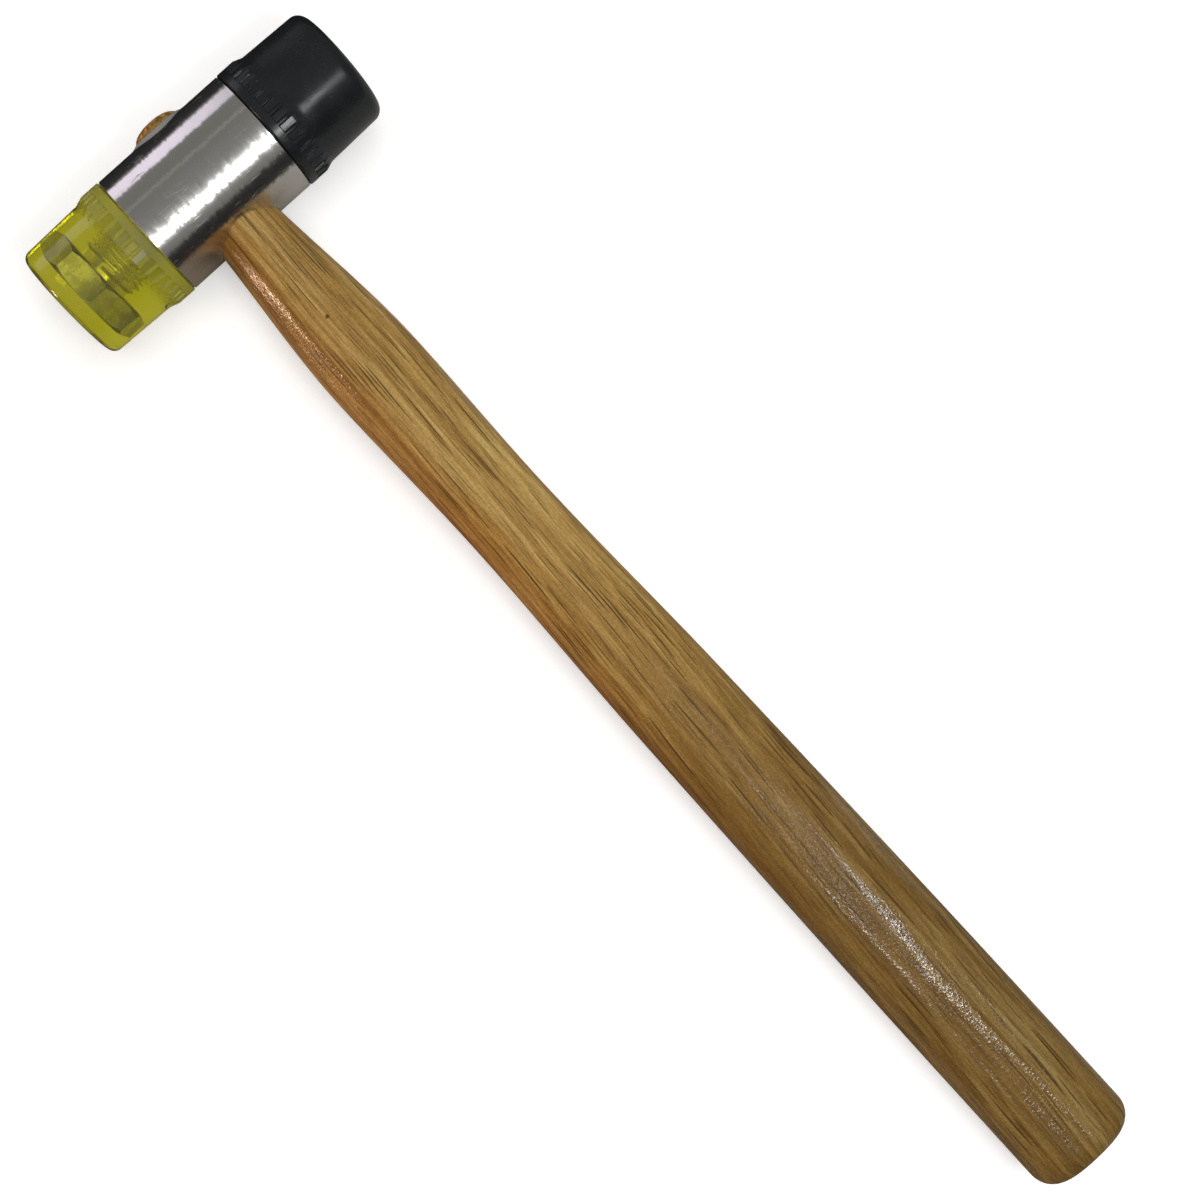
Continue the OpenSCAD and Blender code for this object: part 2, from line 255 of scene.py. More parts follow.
class Wiring:
    """Adds nodes to a shader tree and joins them."""

    def __init__(self, tree: bpy.types.NodeTree) -> None:
        """Starts on an emptied tree."""
        self.tree = tree
        tree.nodes.clear()

    def join(self, socket: Socket, value: object) -> None:
        """Gives an input its value.

        Args:
            socket: the input.
            value: an output to link to it, or a plain value to set.
        """
        if isinstance(value, Socket):
            self.tree.links.new(value, socket)
        else:
            socket.default_value = value

    def node(self, kind: str, inputs: dict | None = None, **settings: object) -> Node:
        """Adds a node.

        Args:
            kind: the node's type name.
            inputs: socket names or numbers, with a value or an output to join to each.
            settings: the node's own properties.

        Returns:
            The node.
        """
        made = self.tree.nodes.new(kind)
        for key, value in settings.items():
            setattr(made, key, value)
        for key, value in (inputs or {}).items():
            self.join(made.inputs[key], value)
        return made

    def math(self, operation: str, *values: float | Socket) -> Socket:
        """Adds a math node with its inputs in order, and returns its output."""
        return self.node("ShaderNodeMath", dict(enumerate(values)), operation=operation).outputs[0]

    def product(self, first: Socket, *others: float | Socket) -> Socket:
        """Multiplies values and returns the result."""
        return reduce(lambda done, value: self.math("MULTIPLY", done, value), others, first)

    def total(self, *terms: tuple[Socket, float], base: float | Socket = 0.0) -> Socket:
        """Adds up pairs of a value and its weight, starting from base, and returns the sum."""
        return reduce(lambda done, term: self.math("MULTIPLY_ADD", *term, done), terms, base)

    def vector(self, operation: str, *values: Sequence[float] | Socket) -> Sockets:
        """Adds a vector math node with its inputs in order, and returns its outputs."""
        return self.node("ShaderNodeVectorMath", dict(enumerate(values)), operation=operation).outputs

    def stretched(self, at: Socket, scale: Socket) -> Socket:
        """Returns a vector times a number."""
        return self.node("ShaderNodeVectorMath", {0: at, "Scale": scale}, operation="SCALE").outputs[0]

    def part(self, at: Socket, axis: int) -> Socket:
        """Returns a place's coordinate: axis 0 is X, 1 is Y and 2 is Z."""
        return self.node("ShaderNodeSeparateXYZ", {0: at}).outputs[axis]

    def off_axis(self, at: Socket) -> Socket:
        """Returns a place's distance from the X axis."""
        return self.vector("LENGTH", self.vector("MULTIPLY", at, (0.0, 1.0, 1.0))[0])["Value"]

    def mapped(self, at: Socket, scale: Point, turn: Point = (0.0, 0.0, 0.0)) -> Socket:
        """Returns a place that is scaled and then turned."""
        return self.node("ShaderNodeMapping", {"Vector": at, "Rotation": turn, "Scale": scale}).outputs[0]

    def noise(self, at: Socket, scale: float | Socket, detail: float = 2.0, rough: float = 0.5,
              distortion: float = 0.0) -> Socket:
        """Adds a noise texture and returns its value, about 0.5 on average."""
        made = self.node("ShaderNodeTexNoise", {"Vector": at, "Scale": scale, "Detail": detail,
                                                "Roughness": rough, "Distortion": distortion})
        return made.outputs["Fac"]

    def between(self, value: Socket, low: float, high: float, to_low: float = 0.0,
                to_high: float = 1.0) -> Socket:
        """Turns a value into a smooth step from to_low, at low, to to_high, at high."""
        made = self.node("ShaderNodeMapRange", {"Value": value, "From Min": low, "From Max": high,
                                                "To Min": to_low, "To Max": to_high},
                         interpolation_type="SMOOTHSTEP")
        return made.outputs["Result"]

    def blend(self, share: float | Socket, first: object, second: object, kind: str = "MIX") -> Socket:
        """Mixes a share of a second colour into the first, by the node's blend type."""
        made = self.node("ShaderNodeMix", {0: share, 6: first, 7: second},
                         data_type="RGBA", blend_type=kind)
        return made.outputs[2]

    def shade(self, share: Socket, first: Socket, second: Colour) -> Socket:
        """Returns a colour that is multiplied by another where share says."""
        return self.blend(share, first, second, "MULTIPLY")

    def ramp(self, value: Socket, *stops: tuple[float, Colour]) -> Socket:
        """Turns a value into a colour.

        Args:
            value: the value.
            stops: places and colours along the ramp.

        Returns:
            The colour.
        """
        made = self.node("ShaderNodeValToRGB", {"Fac": value})
        while len(made.color_ramp.elements) < len(stops):
            made.color_ramp.elements.new(0.5)
        for element, (place, colour) in zip(made.color_ramp.elements, stops):
            element.position, element.color = place, colour
        return made.outputs["Color"]

    def bump(self, height: Socket, depth: float, strength: float = 1.0) -> Socket:
        """Turns a height into a normal; depth is what a height of 1 is, in millimetres."""
        return self.node("ShaderNodeBump", {"Height": height, "Distance": depth * MM,
                                            "Strength": strength}).outputs[0]


class Effect(Enum):
    """The shared surface effects, each a shader node group."""

    MOTTLE = "soft mottle"
    RINGS = "fine turned rings"
    SCUFFS = "scratches and pits"
    OAK = "oak grain"


class Effects:
    """Builds each shared effect once, as a node group."""

    def __init__(self) -> None:
        """Builds all the groups."""
        self.groups: dict[Effect, bpy.types.NodeTree] = {}
        self.make(Effect.MOTTLE, self.mottle, Scale=100.0)
        self.make(Effect.RINGS, self.rings, Along=3000.0, Round=120.0)
        self.make(Effect.SCUFFS, self.scuffs, Scale=100.0)
        self.make(Effect.OAK, self.oak)

    def make(self, effect: Effect, wire: Callable[[Wiring, Sockets], dict[str, Socket]],
             **values: float) -> None:
        """Makes one group.

        Args:
            effect: the effect.
            wire: what joins its nodes and gives its outputs.
            values: its number inputs, with their defaults.
        """
        tree = bpy.data.node_groups.new(effect.value, "ShaderNodeTree")
        tree.interface.new_socket("Vector", in_out="INPUT", socket_type="NodeSocketVector")
        for name, value in values.items():
            made = tree.interface.new_socket(name, in_out="INPUT", socket_type="NodeSocketFloat")
            made.default_value = value
        w = Wiring(tree)
        results = wire(w, w.node("NodeGroupInput").outputs)
        for name in results:
            tree.interface.new_socket(name, in_out="OUTPUT", socket_type="NodeSocketFloat")
        w.node("NodeGroupOutput", results)
        self.groups[effect] = tree

    @staticmethod
    def mottle(w: Wiring, given: Sockets) -> dict[str, Socket]:
        """Wires a soft uneven tone."""
        return {"Value": w.between(w.noise(given["Vector"], given["Scale"], 3.0, 0.55), 0.3, 0.7)}

    @staticmethod
    def rings(w: Wiring, given: Sockets) -> dict[str, Socket]:
        """Wires fine rings round the X axis, as turning and polishing leave.

        Args:
            w: the group's wiring.
            given: the group's inputs.

        Returns:
            The group's outputs.
        """
        stretch = w.node("ShaderNodeCombineXYZ", {0: given["Along"], 1: given["Round"], 2: given["Round"]})
        at = w.vector("MULTIPLY", given["Vector"], stretch.outputs[0])[0]
        return {"Height": w.noise(at, 1.0, 3.0, 0.6)}

    @staticmethod
    def scuffs(w: Wiring, given: Sockets) -> dict[str, Socket]:
        """Wires hairline scratches in patches, and small pits in a share of the cells of a pattern.

        Args:
            w: the group's wiring.
            given: the group's inputs.

        Returns:
            The group's outputs.
        """
        at = w.stretched(given["Vector"], given["Scale"])
        drawn = w.noise(w.mapped(at, (0.12, 1.6, 1.6), (0.5, 0.9, 0.7)), 1.0, 1.0, 0.4, 0.1)
        hair = w.between(w.math("ABSOLUTE", w.math("SUBTRACT", drawn, 0.5)), 0.003, 0.008, 1.0, 0.0)
        patch = w.between(w.noise(at, 0.45, 1.0), 0.5, 0.62)
        cell = w.node("ShaderNodeTexVoronoi", {"Vector": at, "Scale": 1.3}).outputs
        pick = w.node("ShaderNodeSeparateColor", {0: cell["Color"]}).outputs[0]
        dot = w.between(cell["Distance"], 0.05, 0.09, 1.0, 0.0)
        return {"Scratches": w.product(hair, patch),
                "Pits": w.product(dot, w.math("GREATER_THAN", pick, 0.6))}

    @staticmethod
    def oak(w: Wiring, given: Sockets) -> dict[str, Socket]:
        """Wires open oak grain along Y, read round the handle; the vector is in millimetres.

        Args:
            w: the group's wiring.
            given: the group's inputs.

        Returns:
            The group's outputs.
        """
        x, along, z = (w.part(given["Vector"], axis) for axis in range(3))
        mean_r, sway_w, lean, half_round = 11.5, 5.0, 0.05, 18.0
        sway = w.noise(w.mapped(given["Vector"], (0.05, 0.016, 0.05)), 1.0, 1.0)
        across = w.total((w.math("ARCTAN2", x, z), mean_r), (sway, sway_w), (along, -lean))

        def laid(wide: float, long: float, shift: float) -> Socket:
            """Gives the place on the unrolled surface in units of wide by long millimetres."""
            return w.node("ShaderNodeCombineXYZ", {
                0: w.total((across, 1.0 / wide), base=shift),
                1: w.total((along, 1.0 / long), base=shift * 1.7), 2: shift}).outputs[0]

        def dashes(wide: float, long: float, shift: float, reach: float, share: float) -> Socket:
            """Gives tapered dark dashes, one at most in each cell of a pattern.

            Args:
                wide: width of a cell, in millimetres.
                long: length of a cell, in millimetres.
                shift: shift of the pattern.
                reach: size of a dash, as a share of its cell.
                share: share of the cells that have one.

            Returns:
                The dashes as a mask.
            """
            cell = w.node("ShaderNodeTexVoronoi", {"Vector": laid(wide, long, shift), "Scale": 1.0},
                          voronoi_dimensions="2D").outputs
            pick = w.node("ShaderNodeSeparateColor", {0: cell["Color"]}).outputs
            size = w.total((pick[1], 0.8 * reach), base=0.5 * reach)
            body = w.between(w.math("DIVIDE", cell["Distance"], size), 0.7, 1.0, 1.0, 0.0)
            return w.product(body, w.math("LESS_THAN", pick[0], share))

        rows = w.between(w.noise(laid(2.6, 130.0, 4.4), 1.0, 1.0), 0.38, 0.58, 0.7, 1.0)
        pores = w.math("MAXIMUM", dashes(1.5, 50.0, 1.3, 0.155, 0.92),
                       w.product(dashes(1.2, 36.0, 6.1, 0.15, 0.88), 0.9))
        fine = w.between(w.noise(laid(0.5, 11.0, 9.7), 1.0, 1.0), 0.62, 0.68, 0.0, 0.6)
        broad = w.noise(laid(9.0, 95.0, 3.1), 1.0, 2.0)
        streak = w.noise(laid(1.3, 34.0, 7.7), 1.0, 4.0, 0.66)
        return {"Tone": w.between(w.total((broad, 0.45), (streak, 0.65)), 0.31, 0.79),
                "Pores": w.product(w.math("MAXIMUM", pores, fine), rows),
                "Fibre": w.noise(laid(0.32, 9.0, 2.2), 1.0, 3.0, 0.6),
                "Side": w.product(across, 1.0 / half_round)}


class Surface(Wiring):
    """The wiring of one material, with its shader joined to its output."""

    def __init__(self, name: str, effects: Effects | None = None) -> None:
        """Starts a material.

        Args:
            name: its name.
            effects: the shared effects, where it uses them.
        """
        self.material = bpy.data.materials.new(name)
        self.material.use_nodes = True
        super().__init__(self.material.node_tree)
        self.effects = effects
        self.shader = self.node("ShaderNodeBsdfPrincipled")
        self.output = self.node("ShaderNodeOutputMaterial", {"Surface": self.shader.outputs[0]})

    @cached_property
    def at(self) -> Socket:
        """Object coordinates from the head's centre, in metres."""
        given = self.node("ShaderNodeTexCoord").outputs["Object"]
        return self.node("ShaderNodeMapping", {"Vector": given, "Location": -LIE.centre()}).outputs[0]

    @cached_property
    def mm(self) -> Socket:
        """Object coordinates from the head's centre, in millimetres."""
        return self.mapped(self.at, PER_MM)

    def place(self, effect: Effect, at: Socket, **values: float) -> Sockets:
        """Places a shared effect with its number inputs and returns its outputs."""
        tree = self.effects.groups[effect]
        return self.node("ShaderNodeGroup", {"Vector": at, **values}, node_tree=tree).outputs

    def marks(self, at: Socket, scale: float) -> Socket:
        """Places scratches and pits of one scale and returns them as one mask."""
        scuffs = self.place(Effect.SCUFFS, at, Scale=scale)
        return self.math("MAXIMUM", scuffs["Scratches"], scuffs["Pits"])

    def set(self, **values: object) -> None:
        """Gives the shader's sockets, named with _ for a space, their values."""
        for name, value in values.items():
            self.join(self.shader.inputs[name.replace("_", " ")], value)


@dataclass(frozen=True)
class Finish:
    """A finish that is dressed on pieces as a procedural material."""

    name: str

    def build(self, effects: Effects) -> Material:
        """Builds the material from the shared effects and returns it."""
        self.wire(w := Surface(self.name, effects))
        return w.material

    def wire(self, w: Surface) -> None:
        """Wires the material; each finish has its own way."""
        raise NotImplementedError


@dataclass(frozen=True)
class ChromePlate(Finish):
    """Bright plate over a tube that was polished round and round, worn on the handle's side."""

    name: str = "chrome plate"
    bright: Colour = (0.80, 0.795, 0.785, 1.0)
    dull: Colour = (0.66, 0.65, 0.63, 1.0)
    # Round the top of the eye the plate is made a darker, duller and less metallic grey.
    eye_rim_grey: Colour = (0.42, 0.42, 0.41, 1.0)
    eye_half: Point = (6.0, 1000.0, 5.8)
    rim_reach: Span = (1.5, 1.4)
    rim_from: Span = (9.0, 10.0)
    worn_from: Span = (1.5, -1.5)
    worn_to: Span = (-8.5, -5.5)
    fray: float = 0.11
    depth: float = 0.012

    def wire(self, w: Surface) -> None:
        """Wires the material.

        Args:
            w: its wiring.
        """
        at = w.at
        across = w.part(w.mm, 1)
        rings = w.place(Effect.RINGS, at, Along=5200.0, Round=150.0)[0]
        brushed = w.place(Effect.RINGS, at, Along=1500.0, Round=330.0)[0]
        mottle = w.place(Effect.MOTTLE, at, Scale=120.0)[0]
        marks = w.marks(at, 430.0)
        worn = w.product(w.between(across, *self.worn_from), w.between(across, *self.worn_to, 0.3, 1.0))
        lean = w.product(w.math("SUBTRACT", brushed, 0.5),
                         w.between(worn, 0.0, 1.0, self.fray, 2.0 * self.fray))
        polished = w.bump(w.total((rings, 0.5), (marks, -0.2)), self.depth)
        round_way = w.vector("CROSS_PRODUCT", (1.0, 0.0, 0.0), polished)[0]
        leaned = w.vector("NORMALIZE", w.vector("ADD", polished, w.stretched(round_way, lean))[0])[0]
        from_eye = w.vector("LENGTH", w.vector("DIVIDE", w.mm, self.eye_half)[0])["Value"]
        # Round the top of the eye the plate turns a darker grey, duller and less metallic.
        edge = w.product(w.between(from_eye, *self.rim_reach), w.between(across, *self.rim_from))
        plate = w.blend(w.total((marks, 0.6), (rings, 0.35)), self.bright, self.dull)
        w.set(Base_Color=w.blend(edge, plate, self.eye_rim_grey), Normal=leaned,
              Metallic=w.between(edge, 0.0, 1.0, 1.0, 0.35),
              Roughness=w.total((mottle, 0.03), (marks, 0.3), (rings, 0.06), (worn, 0.12),
                                base=w.between(edge, 0.0, 1.0, 0.09, 0.4)))


@dataclass(frozen=True)
class ClearPlastic(Finish):
    """Tinted clear plastic, glossy from the mould, a little scuffed, and frosted on its ribbed ring."""

    name: str = "clear yellow plastic"
    tint: Colour = (0.84, 0.815, 0.30, 1.0)
    pale: Colour = (0.88, 0.855, 0.38, 1.0)
    # Painted shade in the gaps between the ribs and a painted highlight on the rib tops.
    gap_painted_shade: Colour = (0.66, 0.64, 0.20, 1.0)
    rib_painted_highlight: Colour = (0.97, 0.95, 0.62, 1.0)
    deep: Colour = (0.825, 0.815, 0.03, 1.0)
    density: float = 150.0
    ring_end: Span = (22.6, 24.0)
    rib_side: Span = (14.78, 15.08)
    depth: float = 0.02

    def wire(self, w: Surface) -> None:
        """Wires the material.

        Args:
            w: its wiring.
        """
        at = w.at
        mottle = w.place(Effect.MOTTLE, at, Scale=140.0)[0]
        marks = w.marks(at, 900.0)
        ring = w.between(w.math("ABSOLUTE", w.part(w.mm, 0)), *self.ring_end, 1.0, 0.0)
        proud = w.between(w.off_axis(w.mm), *self.rib_side)
        frost = w.product(ring, w.between(proud, 0.0, 1.0, 0.28, 0.6))
        tint = w.blend(mottle, self.tint, self.pale)
        # On the ring most of the tint gives way to the painted gap shade and the painted rib-top
        # highlight.
        tint = w.blend(w.product(ring, 0.8), tint, w.blend(proud, self.gap_painted_shade, self.rib_painted_highlight))
        w.set(Base_Color=tint, Metallic=0.0, IOR=1.49, Transmission_Weight=0.96,
              Roughness=w.total((mottle, 0.02), (marks, 0.12), (frost, 1.0), base=0.015),
              Normal=w.bump(w.total((mottle, 0.2), (marks, -0.12)), self.depth))
        inside = w.node("ShaderNodeVolumeAbsorption", {"Color": self.deep, "Density": self.density})
        w.join(w.output.inputs["Volume"], inside.outputs[0])


@dataclass(frozen=True)
class BlackRubber(Finish):
    """Black rubber with the satin of its mould and a little dust."""

    name: str = "black rubber"
    black: Colour = (0.0100, 0.0122, 0.0138, 1.0)
    dusty: Colour = (0.0142, 0.0168, 0.0185, 1.0)
    depth: float = 0.012

    def wire(self, w: Surface) -> None:
        """Wires the material.

        Args:
            w: its wiring.
        """
        at = w.at
        mottle = w.place(Effect.MOTTLE, at, Scale=190.0)[0]
        marks = w.marks(at, 800.0)
        grain = w.noise(at, 2600.0, 2.0, 0.6)
        dust = w.total((mottle, 0.5), (marks, 0.5))
        w.set(Base_Color=w.blend(dust, self.black, self.dusty), Metallic=0.0, IOR=1.5,
              Specular_IOR_Level=0.40, Roughness=w.total((mottle, 0.09), (grain, 0.10), base=0.15),
              Normal=w.bump(w.total((marks, -0.6), base=grain), self.depth, 0.6))


@dataclass(frozen=True)
class TurnedSteel(Finish):
    """Plain steel with turning rings; a bore can have a tapped thread and a shank a zinc plate."""

    name: str = "turned steel"
    steel: Colour = (0.50, 0.50, 0.51, 1.0)
    stained: Colour = (0.30, 0.28, 0.26, 1.0)
    zinc: Colour = (0.88, 0.87, 0.78, 1.0)
    rough: float = 0.27
    bore_r: float = 0.0
    shank_r: float = 0.0
    bore_skin: Span = (0.25, 0.1)
    shank_skin: Span = (0.6, 0.2)
    pitch: float = 1.5
    depth: float = 0.9

    def wire(self, w: Surface) -> None:
        """Wires the material.

        Args:
            w: its wiring.
        """
        at = w.at
        off = w.off_axis(w.mm)
        rings = w.place(Effect.RINGS, at, Along=2400.0, Round=260.0)[0]
        mottle = w.place(Effect.MOTTLE, at, Scale=300.0)[0]
        height = w.total((rings, 0.02), (w.marks(at, 500.0), -0.02))
        colour, metal = w.blend(w.product(mottle, 0.6), self.steel, self.stained), 1.0
        if self.bore_r:
            turn = w.math("ARCTAN2", w.part(w.mm, 2), w.part(w.mm, 1))
            turns = w.total((w.part(w.mm, 0), 1.0 / self.pitch), (turn, 1.0 / math.tau))
            bore = w.between(off, *[self.bore_r + skin for skin in self.bore_skin])
            height = w.math("MULTIPLY_ADD", w.math("PINGPONG", turns, 0.5), bore, height)
        if self.shank_r:
            shank = w.between(off, *[self.shank_r + skin for skin in self.shank_skin])
            colour, metal = w.blend(shank, colour, self.zinc), w.between(shank, 0.0, 1.0, 1.0, 0.5)
        w.set(Base_Color=colour, Metallic=metal, Normal=w.bump(height, self.depth),
              Roughness=w.total((mottle, 0.12), base=self.rough))


@dataclass(frozen=True)
class LacqueredOak(Finish):
    """Open-grained oak under clear lacquer; spans down the handle are in millimetres from the head."""

    name: str = "lacquered oak"
    pale: Colour = (0.600, 0.412, 0.140, 1.0)
    tan: Colour = (0.410, 0.240, 0.064, 1.0)
    brown: Colour = (0.275, 0.147, 0.035, 1.0)
    pore: Colour = (0.058, 0.028, 0.007, 1.0)
    # Painted highlight: pale glints on the tip's end grain.
    tip_glint_paint: Colour = (0.72, 0.66, 0.52, 1.0)
    fleck_shade: Colour = (0.6, 0.5, 0.4, 1.0)
    grit_shade: Colour = (0.5, 0.44, 0.36, 1.0)
    # Painted light: lightens the handle's right side, as if more light fell on it.
    right_side_painted_light: Colour = (1.14, 1.20, 1.30, 1.0)
    # Russet blotches of the wood on the left side, strongest near the neck; they also darken and warm that
    # side as painted shade.
    russet_and_left_shade: Colour = (0.92, 0.66, 0.50, 1.0)
    # Darker towards the butt.
    darker_to_butt: Colour = (0.47, 0.445, 0.385, 1.0)
    end_grain: Colour = (0.40, 0.36, 0.28, 1.0)
    knot_at: Point = (-0.15, -41.3, 8.85)
    knot_edge: Span = (0.35, 0.6)
    tip_cut: Span = (14.4, 15.6)
    butt_cut: Span = (-289.4, -290.8)
    red_fades: Span = (-230.0, -120.0)
    grip_darkens: Span = (-105.0, -225.0)
    neck_gloss_ends: Span = (-70.0, -95.0)
    grip_gloss_starts: Span = (-170.0, -198.0)
    dull_gloss: float = 0.12
    peel_height: float = 4.4
    ridge_height: float = 18.0
    depth: float = 0.028

    def wire(self, w: Surface) -> None:
        """Wires the material.

        Args:
            w: its wiring.
        """
        at = w.at
        grain_at = w.mapped(at, PER_MM, (-LIE.tilt, 0.0, 0.0))
        down = w.part(grain_at, 1)
        oak = w.place(Effect.OAK, grain_at)
        tip = w.between(down, *self.tip_cut)
        sawn = w.math("MAXIMUM", tip, w.between(down, *self.butt_cut))
        peel = w.noise(at, 1600.0, 2.0, 0.6)
        ridge = w.noise(w.mapped(grain_at, (0.30, 0.022, 0.30)), 1.0, 1.0)
        lacquer = w.total((peel, self.peel_height), (ridge, self.ridge_height))
        height = w.total((oak["Fibre"], 0.5), (oak["Pores"], -0.2), base=lacquer)
        glossy = w.math("MAXIMUM", w.between(down, *self.neck_gloss_ends, 1.0, self.dull_gloss),
                        w.between(down, *self.grip_gloss_starts, self.dull_gloss, 1.0))
        shine = w.product(w.between(ridge, 0.48, 0.59, 0.16, 1.0),
                          w.between(peel, 0.42, 0.6, 0.25, 1.0), glossy)
        wood = w.ramp(oak["Tone"], (0.05, self.brown), (0.5, self.tan), (0.97, self.pale))
        wood = w.shade(w.between(oak["Fibre"], 0.38, 0.6, 0.45, 0.0), wood, self.fleck_shade)
        grit = w.between(w.noise(at, 1700.0, 2.0, 0.6), 0.38, 0.6, 0.32, 0.0)
        wood = w.shade(grit, wood, self.grit_shade)
        # Painted light: the handle's right side is lightened.
        wood = w.shade(w.between(oak["Side"], 0.1, 0.6), wood, self.right_side_painted_light)
        mottle = w.place(Effect.MOTTLE, at, Scale=34.0)[0]
        # Russet blotches on the left side near the neck, which also paint that side's warmer, darker light
        # as painted shade.
        left_russet_and_shade = w.product(w.between(oak["Side"], 0.25, -0.55), w.between(mottle, 0.0, 1.0, 0.45, 1.0),
                        w.between(down, *self.red_fades, 0.25, 1.0))
        wood = w.shade(left_russet_and_shade, wood, self.russet_and_left_shade)
        layers = w.noise(w.mapped(grain_at, (0.12, 0.02, 0.75)), 1.0, 3.0, 0.6)
        wood = w.blend(sawn, wood, w.ramp(layers, (0.34, self.brown), (0.5, self.tan), (0.7, self.pale)))
        # The grip turns darker towards the butt.
        wood = w.shade(w.between(down, *self.grip_darkens), wood, self.darker_to_butt)
        speck = w.product(w.between(w.noise(at, 1150.0), 0.42, 0.58, 1.0, 0.1),
                          w.math("MAXIMUM", tip, w.product(sawn, 0.5)))
        wood = w.shade(speck, wood, self.end_grain)
        # Painted highlight: pale glints dotted over the domed tip.
        glint = w.product(tip, w.between(w.noise(at, 1500.0, 1.0), 0.68, 0.71))
        wood = w.blend(glint, wood, self.tip_glint_paint)
        wood = w.blend(w.product(oak["Pores"], w.between(sawn, 0.0, 1.0, 0.86, 0.0)), wood, self.pore)
        away = w.vector("DISTANCE", grain_at, self.knot_at)["Value"]
        wood = w.blend(w.between(away, *self.knot_edge, 0.85, 0.0), wood, self.pore)
        w.set(Base_Color=wood, Metallic=0.0, IOR=1.5, Specular_IOR_Level=0.08,
              Roughness=w.total((oak["Fibre"], 0.2), base=0.4), Normal=w.bump(height, self.depth),
              Coat_Weight=shine, Coat_Roughness=0.05, Coat_IOR=1.75,
              Coat_Normal=w.bump(lacquer, self.depth))


@dataclass(frozen=True)
class Rim:
    """The metal drawn out round one end of the eye, in millimetres; at a level of 1 its top is flat."""

    height: float
    wall: float
    flare: float
    level: float


@dataclass
class HeadTube:
    """The chrome plated tube, with the metal drawn out round both ends of its eye."""

    radius: float = 15.0
    bore_r: float = 12.6
    length: float = 34.6
    chamfer: float = 0.3
    eye_fit: float = 0.1
    bore_chamfer: float = 0.2
    upper_rim: Rim = Rim(height=0.5, wall=0.7, flare=2.2, level=0.15)
    lower_rim: Rim = Rim(height=0.06, wall=0.15, flare=0.6, level=0.0)
    flare_power: float = 2.2
    cut_past: float = 1.5
    cut_rows: int = 8
    cut_sides: int = 120
    rows: int = 150
    steps: int = 320
    sharp: float = 30.0

    def lift(self, point: Vector, eye: Ring, rim: Rim) -> float:
        """Gives how far a point of the tube's skin is drawn out by the rim round the eye.

        Args:
            point: the point in the hammer's own axes, in millimetres.
            eye: the handle's ring at this end of the eye.
            rim: the rim.

        Returns:
            The lift along the eye, in millimetres.
        """
        share = math.hypot(point.x / eye.half_w, point.z / eye.half_t)
        if share < NEAR:
            return 0.0
        out = math.hypot(point.x, point.z) * (1.0 - 1.0 / share)
        u = max(0.0, (out - self.eye_fit - rim.wall) / rim.flare)
        if u >= 1.0:
            return 0.0
        top = rim.height + rim.level * (self.radius - abs(point.y))
        return top * (1.0 - u) ** self.flare_power

    def build(self, handle: "Handle") -> Piece:
        """Spins the tube, draws out the rims and cuts the eye.

        Args:
            handle: the handle that passes through the eye.

        Returns:
            The piece.
        """
        half, r, c = self.length / 2, self.radius, self.chamfer
        b, d = self.bore_r, self.bore_chamfer
        skin = [(x, r) for x in steps_between(-half + c, half - c, self.rows)]
        bm = turned([(-half, r - c), *skin, (half, r - c), (half, b + d), (half - d, b),
                     (-half + d, b), (-half, b + d)], self.steps, closed=True)
        top, bottom = handle.ring(-r), handle.ring(r)
        for vert in bm.verts:
            point = vert.co / MM
            if math.hypot(point.y, point.z) < r - NEAR:
                continue
            if point.y > 0.0:
                vert.co.y += MM * self.lift(point, top, self.upper_rim)
            else:
                vert.co.y -= MM * self.lift(point, bottom, self.lower_rim)
        piece = to_piece(bm, "chrome_tube", LIE.matrix())
        reach = r + self.upper_rim.height + self.cut_past
        eye = [handle.ring(s, self.eye_fit) for s in steps_between(-reach, reach, self.cut_rows)]
        carve(piece, to_piece(lofted(eye, self.cut_sides), "eye_cutter", LIE.matrix()))
        smooth(piece, self.sharp)
        return piece


